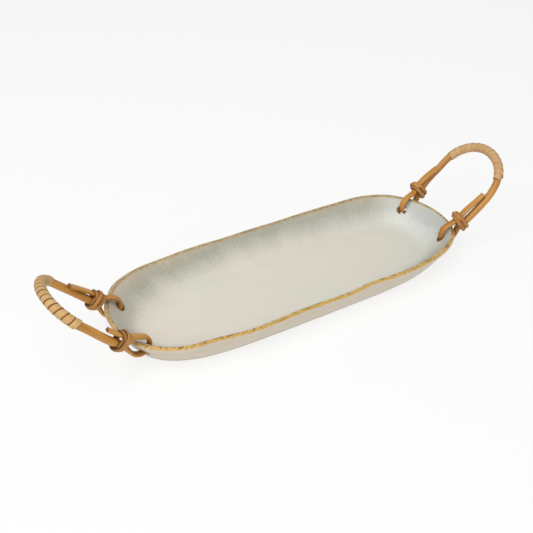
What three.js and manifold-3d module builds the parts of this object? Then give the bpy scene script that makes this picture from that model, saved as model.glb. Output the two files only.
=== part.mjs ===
// Oval serving platter: a hand-formed stoneware dish with two swinging handles of bent cane.
// Millimetres, +Z up. The origin is the centre of the foot, and the long side runs along X.
import * as THREE from 'three';
import { mergeVertices } from 'three/addons/utils/BufferGeometryUtils.js';
import Module from 'manifold-3d';

const degrees = Math.PI / 180;

// Dish
const rimLength = 372;
const rimWidth = 147;
const rimHeight = 29.5;
const sidePower = 4.8;
const endPower = 2.2;
const rimThickness = 4.8;
const outerLean = 33 * degrees;
const innerLean = 45 * degrees;
const floorThickness = 6;
const coveRadius = 18;
const footRadius = 3;

// Holes for the handles
const holeSpacing = 64;
const holeDepth = 16.2;
const holeClearance = 0.85;
const drillLength = 24;

// Cane of both handles
const shaftDrop = 4.4;
const caneDiameter = 7.6;
const tongueWidth = 6.8;
const tongueThickness = 3.2;
const loopClearance = 0.4;
const seatGap = 0.35;

// Each handle: its slope at rest, its bend, how far the bend leans to its far leg, and the peel's turns and
// their distance from the bend's middle. Each leg: the knot's distance from the hinge line, its offset from
// the handle's middle and its slant along the leg, then the tail's length beyond the knot, its gap to the
// shaft in the knot and at the cut end, and how far that end lies to the handle's inside
const rightHandle = {
  rise: 41.1 * degrees,
  reach: 94.4,
  bendStart: 58.2,
  bendWidth: 74,
  bendSkew: 0.06,
  wrapTurns: 14,
  wrapShift: 1.5,
  near: {
    name: 'front', knotX: 15.7, knotY: 34.1, knotSlant: 2, tail: 34, knotGap: 4.6, tailGap: 2, tailShift: 2.4,
  },
  far: {
    name: 'back', knotX: 18.2, knotY: 36.2, knotSlant: 2, tail: 31, knotGap: 1.8, tailGap: -0.1, tailShift: 3,
  },
};
const leftHandle = {
  rise: 45.5 * degrees,
  reach: 90.2,
  bendStart: 65.2,
  bendWidth: 71.5,
  bendSkew: 0.12,
  wrapTurns: 14.5,
  wrapShift: 3,
  near: {
    name: 'back', knotX: 16.7, knotY: 34.7, knotSlant: 2, tail: 33, knotGap: 1.6, tailGap: -0.5, tailShift: 4,
  },
  far: {
    name: 'front', knotX: 25.4, knotY: 37.6, knotSlant: 3, tail: 19, knotGap: 2.8, tailGap: 2.2, tailShift: 0,
  },
};

// Knots that bind each folded tongue to its shaft
const knotLength = 10;
const knotStripWidth = 2.7;
const knotStripThickness = 1.7;
const knotStripGap = 0.75;
const knotTurns = 2;
const climbTurns = 0.5;
const crossTurns = 1;
const knotClearance = 0.6;
const ovalPower = 2.9;

// Peel wound round each bend
const wrapPitch = 6.2;
const wrapStripGap = 0.65;
const wrapThickness = 0.9;
const wrapClearance = 0.35;

// Facets
const outlineSegments = 72;
const arcDivisions = 3;
const holeSides = 24;
const caneSides = 12;
const loopSteps = 16;
const edgeSteps = 12;
const fitRounds = 40;
const bendSteps = 24;
const legShare = 0.2;
const lineSteps = 96;
const lengthSteps = 960;
const wrapSteps = 16;
const knotSteps = 20;

const glaze = new THREE.MeshStandardMaterial({ color: '#d3ccbf', roughness: 0.35, metalness: 0 });
const cane = new THREE.MeshStandardMaterial({ color: '#b9833f', roughness: 0.5, metalness: 0 });
const peel = new THREE.MeshStandardMaterial({ color: '#d6b384', roughness: 0.55, metalness: 0 });
const splitCane = new THREE.MeshStandardMaterial({ color: '#b5854c', roughness: 0.55, metalness: 0 });

const wasm = await Module();
wasm.setup();

function named(name, geometry, material) {
  const mesh = new THREE.Mesh(geometry, material);
  mesh.name = name;
  return mesh;
}

function toSolid(geometry) {
  const bare = geometry.clone();
  bare.deleteAttribute('normal');
  bare.deleteAttribute('uv');
  const merged = mergeVertices(bare, 1e-4);
  const vertProperties = new Float32Array(merged.attributes.position.array);
  const triVerts = new Uint32Array(merged.index.array);
  return new wasm.Manifold(new wasm.Mesh({ numProp: 3, vertProperties, triVerts }));
}

function toGeometry(solid) {
  const mesh = solid.getMesh();
  const geometry = new THREE.BufferGeometry();
  geometry.setAttribute('position', new THREE.BufferAttribute(mesh.vertProperties, 3));
  geometry.setIndex(new THREE.BufferAttribute(mesh.triVerts, 1));
  return geometry;
}

// The wall's two faces and its middle, as the distance in from the rim's outer edge
const beadRadius = rimThickness / 2;
const beadHeight = rimHeight - beadRadius;
const middleLean = (outerLean + innerLean) / 2;
const leanInset = (height, lean) => beadRadius + (beadHeight - height) * Math.tan(lean);
const outerInset = (height) => leanInset(height, outerLean) - beadRadius / Math.cos(outerLean);
const innerInset = (height) => leanInset(height, innerLean) + beadRadius / Math.cos(innerLean);

// Half length of the dish's outline at a distance y from its long axis
function outlineReach(inset, y) {
  const share = Math.abs(y) / (rimWidth / 2 - inset);
  return (rimLength / 2 - inset) * Math.pow(1 - Math.pow(share, endPower), 1 / sidePower);
}

// Half section of the dish: foot, leaning wall, round rim, cove and floor
function dishProfile() {
  const half = rimWidth / 2;
  const footInset = outerInset(footRadius) + footRadius / Math.cos(outerLean);
  const coveHeight = floorThickness + coveRadius;
  const coveInset = innerInset(coveHeight) + coveRadius / Math.cos(innerLean);
  const profile = new THREE.Path();
  profile.moveTo(0, 0);
  profile.lineTo(half - footInset, 0);
  profile.absarc(half - footInset, footRadius, footRadius, -Math.PI / 2, -outerLean, false);
  profile.absarc(half - beadRadius, beadHeight, beadRadius, -outerLean, Math.PI - innerLean, false);
  profile.absarc(half - coveInset, coveHeight, coveRadius, -innerLean, -Math.PI / 2, true);
  profile.lineTo(0, floorThickness);
  return profile.getPoints(arcDivisions);
}

// Stretches the turned profile into the long oval, so that its axis becomes a spine along X
function stretchToOval(geometry) {
  const spine = (rimLength - rimWidth) / 2;
  const position = geometry.attributes.position;
  const flatten = (value, power) => Math.sign(value) * Math.pow(Math.abs(value), 2 / power);
  for (let i = 0; i < position.count; i += 1) {
    const turn = Math.floor(i / (position.count / (outlineSegments + 1)));
    const angle = (2 * Math.PI * turn) / outlineSegments;
    const radius = Math.hypot(position.getX(i), position.getZ(i));
    const x = (spine + radius) * flatten(Math.sin(angle), sidePower);
    const y = radius * flatten(-Math.cos(angle), endPower);
    position.setXYZ(i, x, y, position.getY(i));
  }
  return geometry;
}

const holeRadius = Math.hypot(tongueWidth, tongueThickness) / 2 + holeClearance;
const holeHalfHeight = Math.sqrt(holeRadius ** 2 - (tongueWidth / 2) ** 2);

// The wall in the plane of a hole: its slope there, half its thickness at the hole's upper edge, and its skew
function wallAtHole() {
  const y = holeSpacing / 2;
  const heightAt = (depth) => beadHeight - (depth - beadRadius) * Math.cos(middleLean);
  const middleAt = (height) => new THREE.Vector2(outlineReach(leanInset(height, middleLean), y), height);
  const top = middleAt(beadHeight);
  const down = middleAt(heightAt(holeDepth)).sub(top).normalize();
  const edge = heightAt(holeDepth - holeHalfHeight);
  const faceGap = outlineReach(outerInset(edge), y) - outlineReach(innerInset(edge), y);
  const nearSide = outlineReach(beadRadius, y - tongueWidth / 2);
  const farSide = outlineReach(beadRadius, y + tongueWidth / 2);
  return { top, down, halfThickness: (faceGap * -down.y) / 2, skew: (nearSide - farSide) / 2 };
}

const wall = wallAtHole();
const tongueHalf = tongueThickness / 2;
const rimMargin = loopClearance + Math.hypot(tongueHalf, wall.skew * -wall.down.x);

// Gap between a tongue on a loop and its hole's upper edge, for a hole at a distance from the hinge line
function gapAtEdge(radius, distance) {
  const inner = radius * Math.cos(Math.PI / loopSteps);
  let least = Infinity;
  for (let i = 0; i <= edgeSteps; i += 1) {
    const share = i / edgeSteps;
    const face = wall.halfThickness + wall.skew * share * -wall.down.y;
    const edge = distance - Math.sqrt(holeRadius ** 2 - ((share * tongueWidth) / 2) ** 2);
    least = Math.min(least, inner - tongueHalf * Math.sqrt(1 - share ** 2) - Math.hypot(face, edge));
  }
  return least;
}

// The distance at which the tongue hangs on that edge with the seat's gap
function seatDistance(radius) {
  let near = holeRadius;
  let far = radius + holeRadius;
  for (let i = 0; i < fitRounds; i += 1) {
    const middle = (near + far) / 2;
    if (gapAtEdge(radius, middle) > seatGap) near = middle;
    else far = middle;
  }
  return near;
}

// Least radius of the loop's middle line that clears the rim and hangs on the hole's upper edge
function leastLoop() {
  let tight = holeRadius;
  let loose = holeDepth;
  for (let i = 0; i < fitRounds; i += 1) {
    const middle = (tight + loose) / 2;
    if (middle - rimMargin + seatDistance(middle) < holeDepth) tight = middle;
    else loose = middle;
  }
  return loose;
}

const loopRadius = leastLoop();
const holeDistance = seatDistance(loopRadius);
const hinge = wall.top.clone().addScaledVector(wall.down, holeDepth - beadRadius - holeDistance);
const hole = hinge.clone().addScaledVector(wall.down, holeDistance);

function makePlatter() {
  const turned = new THREE.LatheGeometry(dishProfile(), outlineSegments);
  let dish = toSolid(stretchToOval(turned));
  const through = new THREE.Vector3(-wall.down.y, 0, wall.down.x);
  const turn = new THREE.Quaternion().setFromUnitVectors(new THREE.Vector3(0, 1, 0), through);
  for (const side of [-1, 1]) {
    for (const end of [-1, 1]) {
      const drill = new THREE.CylinderGeometry(holeRadius, holeRadius, drillLength, holeSides);
      drill.applyQuaternion(turn);
      drill.translate(hole.x, (end * holeSpacing) / 2, hole.y);
      if (side < 0) drill.rotateZ(Math.PI);
      dish = dish.subtract(toSolid(drill));
    }
  }
  return named('platter', toGeometry(dish), glaze);
}

// Closed skin over a row of rings, each wound about the direction of travel, with a flat cap at both ends
function skin(rings) {
  const sides = rings[0].length;
  const last = (rings.length - 1) * sides;
  const points = rings.flat();
  const index = [];
  for (let i = 0; i < last; i += sides) {
    for (let j = 0; j < sides; j += 1) {
      const next = (j + 1) % sides;
      index.push(i + j, i + next, i + sides + j);
      index.push(i + next, i + sides + next, i + sides + j);
    }
  }
  for (let j = 1; j < sides - 1; j += 1) {
    index.push(0, j + 1, j);
    index.push(last, last + j, last + j + 1);
  }
  const geometry = new THREE.BufferGeometry().setFromPoints(points);
  geometry.setIndex(index);
  return geometry;
}

// Square axes along a row of points, carried from one to the next without twist
function carryFrames(points, firstSide) {
  const side = firstSide.clone();
  return points.map((point, i) => {
    const before = points[Math.max(i - 1, 0)];
    const after = points[Math.min(i + 1, points.length - 1)];
    const along = after.clone().sub(before).normalize();
    side.addScaledVector(along, -side.dot(along)).normalize();
    return { point, along, side: side.clone(), up: along.clone().cross(side) };
  });
}

// Least distance between points of a winding that lie over half a turn apart along it
function leastGap(rings, stepsPerTurn) {
  let least = Infinity;
  for (let i = 0; i < rings.length; i += 1) {
    for (let k = i + Math.ceil(stepsPerTurn / 2); k < rings.length; k += 1) {
      for (const a of rings[i]) {
        for (const b of rings[k]) {
          least = Math.min(least, a.distanceTo(b));
        }
      }
    }
  }
  return least;
}

// Handle frame: origin on the hinge line, X out along the shaft, Y across, Z square to the handle's plane
const caneRadius = caneDiameter / 2;
const tongueRise = (leg) => caneRadius + tongueHalf + leg.knotGap - shaftDrop;
const knotHalf = knotLength / 2;

// Distance of a leg from the handle's middle: straight from the hole past the knot, then eased into the bend
function legOffset(handle, leg, x) {
  const lean = (leg.knotY - holeSpacing / 2) / leg.knotX;
  const knotEnd = leg.knotX + knotHalf;
  if (x <= knotEnd) return holeSpacing / 2 + lean * Math.max(x, 0);
  const run = handle.bendStart - knotEnd;
  const share = (x - knotEnd) / run;
  const from = holeSpacing / 2 + lean * knotEnd;
  const ease = THREE.MathUtils.smoothstep(share, 0, 1);
  return from + lean * run * share * (1 - share) ** 2 + (handle.bendWidth / 2 - from) * ease;
}

// Points of one leg from the tail's cut end, round the rim strip, to the shaft just before the knot
function legStations(handle, leg, side) {
  const stations = [];
  const add = (x, z, wide, thick, shift = 0) => {
    const y = side * (legOffset(handle, leg, x) - shift);
    stations.push({ point: new THREE.Vector3(x, y, z), wide, thick });
  };
  const addTongue = (x, z, shift) => add(x, z, tongueWidth / 2, tongueHalf, shift);
  const endRise = caneRadius + tongueHalf + leg.tailGap - shaftDrop;
  const pinch = leg.knotX - knotHalf;
  const knotEnd = leg.knotX + knotHalf;
  const tailEnd = leg.knotX + leg.tail;
  const knotRise = tongueRise(leg);
  addTongue(tailEnd, endRise, leg.tailShift);
  addTongue((knotEnd + tailEnd) / 2, (knotRise + endRise) / 2, leg.tailShift / 2);
  addTongue(knotEnd, knotRise);
  addTongue(leg.knotX, knotRise);
  addTongue(pinch, knotRise);
  const leave = (rise) => Math.acos(loopRadius / Math.hypot(pinch, rise));
  const first = Math.atan2(knotRise, pinch) + leave(knotRise);
  const lastAngle = 2 * Math.PI - Math.atan2(shaftDrop, pinch) - leave(shaftDrop);
  for (let i = 0; i <= loopSteps; i += 1) {
    const angle = first + ((lastAngle - first) * i) / loopSteps;
    addTongue(loopRadius * Math.cos(angle), loopRadius * Math.sin(angle));
  }
  add(pinch, -shaftDrop, (tongueWidth + caneDiameter) / 4, (tongueThickness + caneDiameter) / 4);
  add(leg.knotX, -shaftDrop, caneRadius, caneRadius);
  return stations;
}

// Middle line of the handle from one knot to the other: two legs joined by half an ellipse that leans to one
function bendPoint(handle, share) {
  const side = share < 0.5 ? -1 : 1;
  const fromEnd = Math.min(share, 1 - share) / legShare;
  if (fromEnd < 1) {
    const leg = side < 0 ? handle.near : handle.far;
    const x = THREE.MathUtils.lerp(leg.knotX + knotHalf, handle.bendStart, fromEnd);
    return new THREE.Vector3(x, side * legOffset(handle, leg, x), -shaftDrop);
  }
  const angle = (Math.PI * (share - legShare)) / (1 - 2 * legShare);
  const lean = 1 - handle.bendSkew * Math.cos(angle);
  const x = handle.bendStart + (handle.reach - handle.bendStart) * Math.sin(angle) * lean;
  return new THREE.Vector3(x, (-handle.bendWidth / 2) * Math.cos(angle), -shaftDrop);
}

function makeCane(name, handle) {
  const stations = legStations(handle, handle.near, -1);
  for (let i = 0; i <= bendSteps; i += 1) {
    stations.push({ point: bendPoint(handle, i / bendSteps), wide: caneRadius, thick: caneRadius });
  }
  stations.push(...legStations(handle, handle.far, 1).reverse());
  const frames = carryFrames(stations.map((station) => station.point), new THREE.Vector3(0, 1, 0));
  const rings = frames.map((frame, i) => {
    const ring = [];
    for (let j = 0; j < caneSides; j += 1) {
      const angle = (2 * Math.PI * j) / caneSides;
      const point = frame.point.clone();
      point.addScaledVector(frame.side, stations[i].wide * Math.cos(angle));
      point.addScaledVector(frame.up, stations[i].thick * Math.sin(angle));
      ring.push(point);
    }
    return ring;
  });
  return named(name, skin(rings), cane);
}

// Peel strip wound round the bend, laid out by length along the bend and angle round the cane
function makeWrap(name, handle) {
  const marks = Array.from({ length: lineSteps + 1 }, (_, i) => bendPoint(handle, i / lineSteps));
  const line = new THREE.CatmullRomCurve3(marks);
  line.arcLengthDivisions = lengthSteps;
  const length = line.getLength();
  const inner = (caneRadius + wrapClearance) / Math.cos(Math.PI / wrapSteps);
  const outer = inner + wrapThickness;
  const halfStrip = (wrapPitch - wrapStripGap) / 2;
  const corner = (distance, radius, turn) => {
    const share = distance / length;
    const point = line.getPointAt(share);
    const outwards = line.getTangentAt(share).cross(new THREE.Vector3(0, 0, 1));
    point.addScaledVector(outwards, radius * Math.cos(turn));
    point.z += radius * Math.sin(turn);
    return point;
  };
  const rings = [];
  for (let i = 0; i <= handle.wrapTurns * wrapSteps; i += 1) {
    const turn = (2 * Math.PI * i) / wrapSteps;
    const middle = length / 2 + handle.wrapShift + wrapPitch * (i / wrapSteps - handle.wrapTurns / 2);
    const before = middle - halfStrip;
    const after = middle + halfStrip;
    const leading = [corner(before, inner, turn), corner(before, outer, turn)];
    const trailing = [corner(after, outer, turn), corner(after, inner, turn)];
    rings.push([...leading, ...trailing]);
  }
  console.log(name, 'least gap between turns', leastGap(rings, wrapSteps).toFixed(2));
  return named(name, skin(rings), peel);
}

// Split strip wound round tongue and shaft, which then climbs over its own turns and crosses back
function makeKnot(name, leg, side) {
  const low = -shaftDrop - caneRadius;
  const high = tongueRise(leg) + tongueHalf;
  const layer = knotStripThickness + knotStripGap;
  const firstOff = knotClearance + knotStripThickness / 2;
  const pitch = knotStripWidth + knotStripGap;
  const round = (value) => Math.sign(value) * Math.pow(Math.abs(value), 2 / ovalPower);
  const centreAt = (turn) => {
    const climb = THREE.MathUtils.smoothstep(turn, knotTurns, knotTurns + climbTurns);
    const back = THREE.MathUtils.clamp((turn - knotTurns - climbTurns) / crossTurns, 0, 1);
    const wound = Math.min(turn, knotTurns);
    const off = firstOff + layer * climb;
    const angle = 2 * Math.PI * turn;
    const x = pitch * (wound - knotTurns / 2 - knotTurns * back) + leg.knotSlant * Math.sin(angle);
    const across = (caneRadius + off) * round(Math.cos(angle));
    const upward = ((high - low) / 2 + off) * round(Math.sin(angle));
    return new THREE.Vector3(x, across, upward);
  };
  const count = Math.round((knotTurns + climbTurns + crossTurns) * knotSteps);
  const points = Array.from({ length: count + 1 }, (_, i) => centreAt(i / knotSteps));
  const rings = points.map((point, i) => {
    const before = points[Math.max(i - 1, 0)];
    const after = points[Math.min(i + 1, count)];
    const along = after.clone().sub(before).normalize();
    const outwards = point.clone().setX(0);
    outwards.addScaledVector(along, -outwards.dot(along)).normalize();
    const across = along.clone().cross(outwards);
    const place = (wide, thick) => {
      const corner = point.clone().addScaledVector(across, (wide * knotStripWidth) / 2);
      return corner.addScaledVector(outwards, (thick * knotStripThickness) / 2);
    };
    return [place(-1, -1), place(-1, 1), place(1, 1), place(1, -1)];
  });
  console.log(name, 'least gap between turns', leastGap(rings, knotSteps).toFixed(2));
  const geometry = skin(rings);
  geometry.rotateZ(side * Math.atan2(leg.knotY - holeSpacing / 2, leg.knotX));
  geometry.translate(leg.knotX, side * leg.knotY, (low + high) / 2);
  return named(name, geometry, splitCane);
}

// A handle in its own frame, hung on the hinge line at one end of the dish
function makeHandle(end, handle) {
  const hung = new THREE.Group();
  hung.add(makeCane(`${end}_handle_cane`, handle));
  hung.add(makeWrap(`${end}_grip_wrap`, handle));
  hung.add(makeKnot(`${end}_${handle.near.name}_knot`, handle.near, -1));
  hung.add(makeKnot(`${end}_${handle.far.name}_knot`, handle.far, 1));
  hung.position.set(hinge.x, 0, hinge.y);
  hung.rotation.y = -handle.rise;
  return new THREE.Group().add(hung);
}

const platter = new THREE.Group();
platter.add(makePlatter());
platter.add(makeHandle('right', rightHandle));
const leftEnd = makeHandle('left', leftHandle);
leftEnd.rotation.z = Math.PI;
platter.add(leftEnd);
console.log('hinge line x', hinge.x.toFixed(2), 'z', hinge.y.toFixed(2));
console.log('loop radius', loopRadius.toFixed(2), 'hole distance', holeDistance.toFixed(2));
console.log('hole x', hole.x.toFixed(2), 'z', hole.y.toFixed(2), 'radius', holeRadius.toFixed(2));

export default platter;
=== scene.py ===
"""Looks of an oval stoneware serving platter with two bent cane handles, built round its CAD frame.

Lengths are in millimetres until a mesh is made, and +Z is up. Each piece stands for one CAD solid, in the
same place and finer: the dish with its glaze, the canes, the peel wound round each bend and the knots.
"""

from __future__ import annotations

import logging
import math
from bisect import bisect_left
from collections.abc import Callable, Sequence
from dataclasses import dataclass, field
from enum import Enum
from functools import partial
from itertools import accumulate, pairwise
from typing import Any

import bmesh
import bpy
from mathutils import Matrix, Vector, noise


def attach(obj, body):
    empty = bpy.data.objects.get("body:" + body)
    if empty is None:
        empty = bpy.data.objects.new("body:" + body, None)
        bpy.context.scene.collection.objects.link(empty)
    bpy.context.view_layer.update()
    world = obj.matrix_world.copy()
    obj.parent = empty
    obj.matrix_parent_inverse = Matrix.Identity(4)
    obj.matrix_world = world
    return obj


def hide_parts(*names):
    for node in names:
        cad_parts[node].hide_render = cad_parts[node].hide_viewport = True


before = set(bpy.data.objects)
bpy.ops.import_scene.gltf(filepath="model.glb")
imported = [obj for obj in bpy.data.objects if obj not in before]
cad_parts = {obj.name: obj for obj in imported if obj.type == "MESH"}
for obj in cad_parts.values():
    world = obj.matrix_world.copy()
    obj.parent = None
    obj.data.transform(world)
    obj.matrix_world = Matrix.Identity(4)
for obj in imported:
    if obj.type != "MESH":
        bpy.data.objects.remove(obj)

LOG = logging.getLogger("platter")
MM = 0.001

NodeInputs = dict[str | int, Any] | Sequence[Any]
AddNode = Callable[..., bpy.types.Node]


def linear(hex_colour: str) -> tuple[float, float, float, float]:
    """Turns an sRGB hex colour into linear RGBA.

    Args:
        hex_colour: colour as #rrggbb.

    Returns:
        The linear colour with full alpha.
    """
    channels = [int(hex_colour[i : i + 2], 16) / 255 for i in (1, 3, 5)]
    lit = [c / 12.92 if c <= 0.04045 else ((c + 0.055) / 1.055) ** 2.4 for c in channels]
    return (lit[0], lit[1], lit[2], 1.0)


def add_node(
    tree: bpy.types.NodeTree, kind: str, inputs: NodeInputs = (), **settings: Any
) -> bpy.types.Node:
    """Adds a node with its settings, and sets or links its inputs.

    Args:
        tree: node tree that takes the node.
        kind: Blender's type name of the node.
        inputs: what goes in, by the input's name or index, or as a row for the inputs in use in their order.
            Each is a value, an output socket, or a node, which gives its first output in use.
        settings: properties of the node.

    Returns:
        The new node.
    """
    node = tree.nodes.new(kind)
    for name, value in settings.items():
        setattr(node, name, value)
    if not isinstance(inputs, dict):
        in_use = [i for i, socket in enumerate(node.inputs) if socket.enabled]
        inputs = dict(zip(in_use, inputs))
    for key, value in inputs.items():
        if isinstance(value, bpy.types.Node):
            value = next(socket for socket in value.outputs if socket.enabled)
        if isinstance(value, bpy.types.NodeSocket):
            tree.links.new(value, node.inputs[key])
        else:
            node.inputs[key].default_value = value
    return node


def coat(
    add: AddNode, colour: Any, tone: Any, value: Any, span: Sequence[float], smooth: bool = False
) -> bpy.types.Node:
    """Lays a tone over a colour where a value goes through a span.

    Args:
        add: adds a node to the material's tree.
        colour: what lies below, as a hex colour or a node.
        tone: what is laid over it, likewise.
        value: the value to look at.
        span: the value's start and end, and the tone's shares there where they aren't 0 and 1.
        smooth: whether the share eases in and out.

    Returns:
        The new colour.
    """
    easing = "SMOOTHSTEP" if smooth else "LINEAR"
    share = add("ShaderNodeMapRange", (value, *span), interpolation_type=easing)
    layers = [linear(layer) if isinstance(layer, str) else layer for layer in (colour, tone)]
    return add("ShaderNodeMix", (share, *layers), data_type="RGBA")


def smoothstep(value: float, low: float, high: float) -> float:
    """Eases from 0 at low to 1 at high."""
    share = min(max((value - low) / (high - low), 0.0), 1.0)
    return share * share * (3 - 2 * share)


def flatten(value: float, power: float) -> float:
    """Bends a sine or cosine into that of a superellipse of the given power."""
    return math.copysign(abs(value) ** (2 / power), value)


def lerp(start: float, end: float, share: float) -> float:
    """Mixes two numbers by a share."""
    return start + (end - start) * share


def through(marks: tuple[float, float, float], share: float) -> float:
    """Eases through three values, with the middle one half way.

    Args:
        marks: the three values.
        share: share of the way, from 0 to 1.

    Returns:
        The value there.
    """
    if share < 0.5:
        return lerp(marks[0], marks[1], smoothstep(share, 0, 0.5))
    return lerp(marks[1], marks[2], smoothstep(share, 0.5, 1))


def lengths_along(points: Sequence[Vector]) -> list[float]:
    """Lengths so far along a row of points, from 0 at the first."""
    return [0.0, *accumulate((after - before).length for before, after in pairwise(points))]


def spot_at(lengths: Sequence[float], length: float) -> tuple[int, float]:
    """Finds the stretch of a line that a length falls in.

    Args:
        lengths: lengths so far at the line's points.
        length: how far along the line to look.

    Returns:
        The number of the stretch, and the share of it that lies before the spot.
    """
    mark = min(max(bisect_left(lengths, length) - 1, 0), len(lengths) - 2)
    return mark, (length - lengths[mark]) / (lengths[mark + 1] - lengths[mark])


def new_piece(name: str, mesh: bpy.types.Mesh) -> bpy.types.Object:
    """Puts a mesh into the scene as an object at the origin.

    Args:
        name: name of the object.
        mesh: its mesh.

    Returns:
        The object.
    """
    piece = bpy.data.objects.new(name, mesh)
    bpy.context.scene.collection.objects.link(piece)
    return piece


def bridge(bm: bmesh.types.BMesh, before: Sequence[Any], after: Sequence[Any]) -> None:
    """Joins two closed rings of equal count with faces.

    Args:
        bm: the mesh that both belong to.
        before: vertices of the one ring.
        after: vertices of the other.
    """
    for j in range(len(before)):
        k = (j + 1) % len(before)
        bm.faces.new((before[j], before[k], after[k], after[j]))


def finished(bm: bmesh.types.BMesh, name: str, finish: Finish) -> bpy.types.Object:
    """Turns a mesh in the making into a smooth piece whose faces point outwards.

    Args:
        bm: the mesh, which is used up.
        name: name of the piece.
        finish: what the piece is made of.

    Returns:
        The piece, with its place in its mesh.
    """
    bmesh.ops.recalc_face_normals(bm, faces=bm.faces)
    for face in bm.faces:
        face.smooth = True
    mesh = bpy.data.meshes.new(name)
    bm.to_mesh(mesh)
    bm.free()
    mesh.materials.append(finish.material())
    return new_piece(name, mesh)


def hand_over(piece: bpy.types.Object, body: str, node: str) -> None:
    """Hands a piece to the frame and reports it.

    Args:
        piece: the finished piece.
        body: body that it moves with.
        node: CAD node that it stands for.
    """
    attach(piece, body)
    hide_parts(node)
    LOG.info("%s: %d faces", piece.name, len(piece.data.polygons))


def seen_itself(add: AddNode) -> bpy.types.Node:
    """Tells rays that show a surface, straight, mirrored or through glass, from those that light others.

    Args:
        add: adds a node to the tree.

    Returns:
        1 for a ray that shows the surface, else 0.
    """
    path = add("ShaderNodeLightPath").outputs
    mirrored = add("ShaderNodeMath", (path["Is Camera Ray"], path["Is Glossy Ray"]), operation="MAXIMUM")
    return add("ShaderNodeMath", (mirrored, path["Is Transmission Ray"]), operation="MAXIMUM")


class Finish:
    """A finish named for the real material, whose nodes are laid out once."""

    name: str

    def material(self) -> bpy.types.Material:
        """Gives the material, made at its first use.

        Returns:
            The material.
        """
        made = bpy.data.materials.get(self.name)
        if made is None:
            made = bpy.data.materials.new(self.name)
            made.use_nodes = True
            made.node_tree.nodes.clear()
            add = partial(add_node, made.node_tree)
            add("ShaderNodeOutputMaterial", {"Surface": self.lay_out(add)})
        return made

    def lay_out(self, add: AddNode) -> bpy.types.Node:
        """Lays out the nodes with a function that adds one to the tree, and returns the shader."""
        raise NotImplementedError


@dataclass(frozen=True)
class GlazeMarks:
    """What the glaze's patterns are drawn from.

    A spot's place in metres, its place along the rim and its depth below the rim's top in millimetres, the
    mottle and clouds of the glaze, and how far behind the dish's middle it lies.
    """

    place: bpy.types.NodeSocket
    x: bpy.types.NodeSocket
    z: bpy.types.NodeSocket
    run: bpy.types.NodeSocket
    depth: bpy.types.NodeSocket
    mottle: bpy.types.Node
    clouds: bpy.types.Node
    behind: bpy.types.Node


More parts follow.
